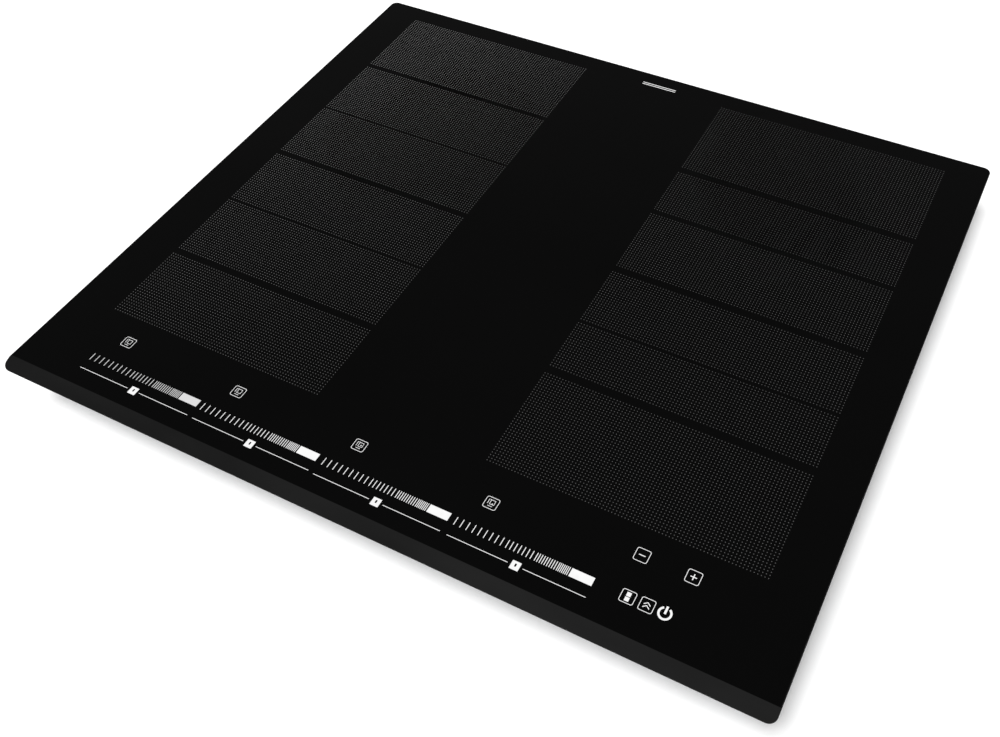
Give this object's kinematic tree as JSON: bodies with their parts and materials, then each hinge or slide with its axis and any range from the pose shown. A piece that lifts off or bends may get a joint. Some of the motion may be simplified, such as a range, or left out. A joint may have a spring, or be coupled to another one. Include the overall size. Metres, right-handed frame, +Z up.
{
  "type": "built-in induction hob",
  "caption": "Built-in induction hob: black glass plate with printed touch sliders over a shallow steel pan holding sprung coils, inverter boards and radial blowers.",
  "frame": {"origin": "middle of the footprint at the underside of the base pan", "axes": "+X to the cook's right, +Y to the back, +Z up out of the worktop"},
  "size_m": [0.59, 0.52, 0.052],
  "materials": {
    "black_glass": "polished black glass-ceramic",
    "foam": "closed-cell foam",
    "silicone": "matte",
    "galvanised_sheet": "galvanised",
    "spring_steel": "satin",
    "zinc_screws": "zinc plated",
    "black_plastic": "fine grain",
    "grey_plastic": "fine grain",
    "black_rubber": "matte",
    "aluminium_sheet": "mill",
    "extruded_aluminium": "extruded",
    "copper_litz": "enamelled litz",
    "ferrite": "sintered",
    "mica": "pressed sheet",
    "sensor_ceramic": "glazed cap",
    "circuit_board": "solder mask",
    "carbon_foam": "conductive foam",
    "light_diffuser": "milky",
    "component_epoxy": "moulded",
    "capacitor_case": "moulded",
    "motor_steel": "laminated",
    "lead_insulation": "silicone sleeve"
  },
  "bodies": {
    "housing": {"glass_top": "black_glass", "worktop_seal": "foam", "glass_adhesive": "silicone", "base_pan": "galvanised_sheet", "touch_support": "galvanised_sheet", "side_clips": "spring_steel", "touch_springs": "spring_steel", "coil_springs_front_left": "spring_steel", "coil_springs_rear_left": "spring_steel", "coil_springs_front_right": "spring_steel", "coil_springs_rear_right": "spring_steel", "clip_screws": "zinc_screws", "terminal_screws": "zinc_screws", "tray_screws": "zinc_screws", "tray_standoffs": "zinc_screws", "fan_housing_left": "black_plastic", "fan_housing_right": "black_plastic", "terminal_block": "grey_plastic", "board_standoffs": "grey_plastic", "cable_grommet": "black_rubber", "coil_tray": "aluminium_sheet", "heatsink_left": "extruded_aluminium", "heatsink_right": "extruded_aluminium", "chokes": "ferrite", "power_board_left": "circuit_board", "power_board_right": "circuit_board", "filter_board": "circuit_board", "power_transistors": "component_epoxy", "capacitors": "capacitor_case", "fan_motors": "motor_steel", "coil_leads": "lead_insulation", "supply_leads": "lead_insulation"},
    "coil_front_left": {"coil_carrier_front_left": "grey_plastic", "coil_winding_front_left": "copper_litz", "coil_ferrites_front_left": "ferrite", "coil_mica_front_left": "mica", "coil_sensor_front_left": "sensor_ceramic"},
    "coil_rear_left": {"coil_carrier_rear_left": "grey_plastic", "coil_winding_rear_left": "copper_litz", "coil_ferrites_rear_left": "ferrite", "coil_mica_rear_left": "mica", "coil_sensor_rear_left": "sensor_ceramic"},
    "coil_front_right": {"coil_carrier_front_right": "grey_plastic", "coil_winding_front_right": "copper_litz", "coil_ferrites_front_right": "ferrite", "coil_mica_front_right": "mica", "coil_sensor_front_right": "sensor_ceramic"},
    "coil_rear_right": {"coil_carrier_rear_right": "grey_plastic", "coil_winding_rear_right": "copper_litz", "coil_ferrites_rear_right": "ferrite", "coil_mica_rear_right": "mica", "coil_sensor_rear_right": "sensor_ceramic"},
    "touch_unit": {"touch_pads": "carbon_foam", "touch_board": "circuit_board", "touch_frame": "grey_plastic", "touch_lights": "light_diffuser"},
    "blower_left": {"impeller_left": "black_plastic"},
    "blower_right": {"impeller_right": "black_plastic"},
    "terminal_flap": {"terminal_cover": "black_plastic"}
  },
  "joints": [
    {"name": "coil_front_left_float", "type": "slide", "parent": "housing", "child": "coil_front_left", "axis": [0, 0, 1], "range_m": [-0.003, 0], "stiffness_N_per_m": 5000, "springref_m": 0.004, "deforming": ["coil_springs_front_left"]},
    {"name": "coil_rear_left_float", "type": "slide", "parent": "housing", "child": "coil_rear_left", "axis": [0, 0, 1], "range_m": [-0.003, 0], "stiffness_N_per_m": 5000, "springref_m": 0.004, "deforming": ["coil_springs_rear_left"]},
    {"name": "coil_front_right_float", "type": "slide", "parent": "housing", "child": "coil_front_right", "axis": [0, 0, 1], "range_m": [-0.003, 0], "stiffness_N_per_m": 5000, "springref_m": 0.004, "deforming": ["coil_springs_front_right"]},
    {"name": "coil_rear_right_float", "type": "slide", "parent": "housing", "child": "coil_rear_right", "axis": [0, 0, 1], "range_m": [-0.003, 0], "stiffness_N_per_m": 5000, "springref_m": 0.004, "deforming": ["coil_springs_rear_right"]},
    {"name": "touch_unit_float", "type": "slide", "parent": "housing", "child": "touch_unit", "axis": [0, 0, 1], "range_m": [-0.002, 0], "stiffness_N_per_m": 2500, "springref_m": 0.003, "deforming": ["touch_springs"]},
    {"name": "blower_left_spin", "type": "hinge", "parent": "housing", "child": "blower_left", "pos_m": [-0.155, 0.17, 0.015], "axis": [0, 0, 1], "continuous": true},
    {"name": "blower_right_spin", "type": "hinge", "parent": "housing", "child": "blower_right", "pos_m": [0.155, 0.17, 0.015], "axis": [0, 0, 1], "continuous": true},
    {"name": "terminal_flap_hinge", "type": "hinge", "parent": "housing", "child": "terminal_flap", "pos_m": [0.24, 0.2423, 0.004], "axis": [-1, 0, 0], "range_deg": [0, 90]}
  ]
}
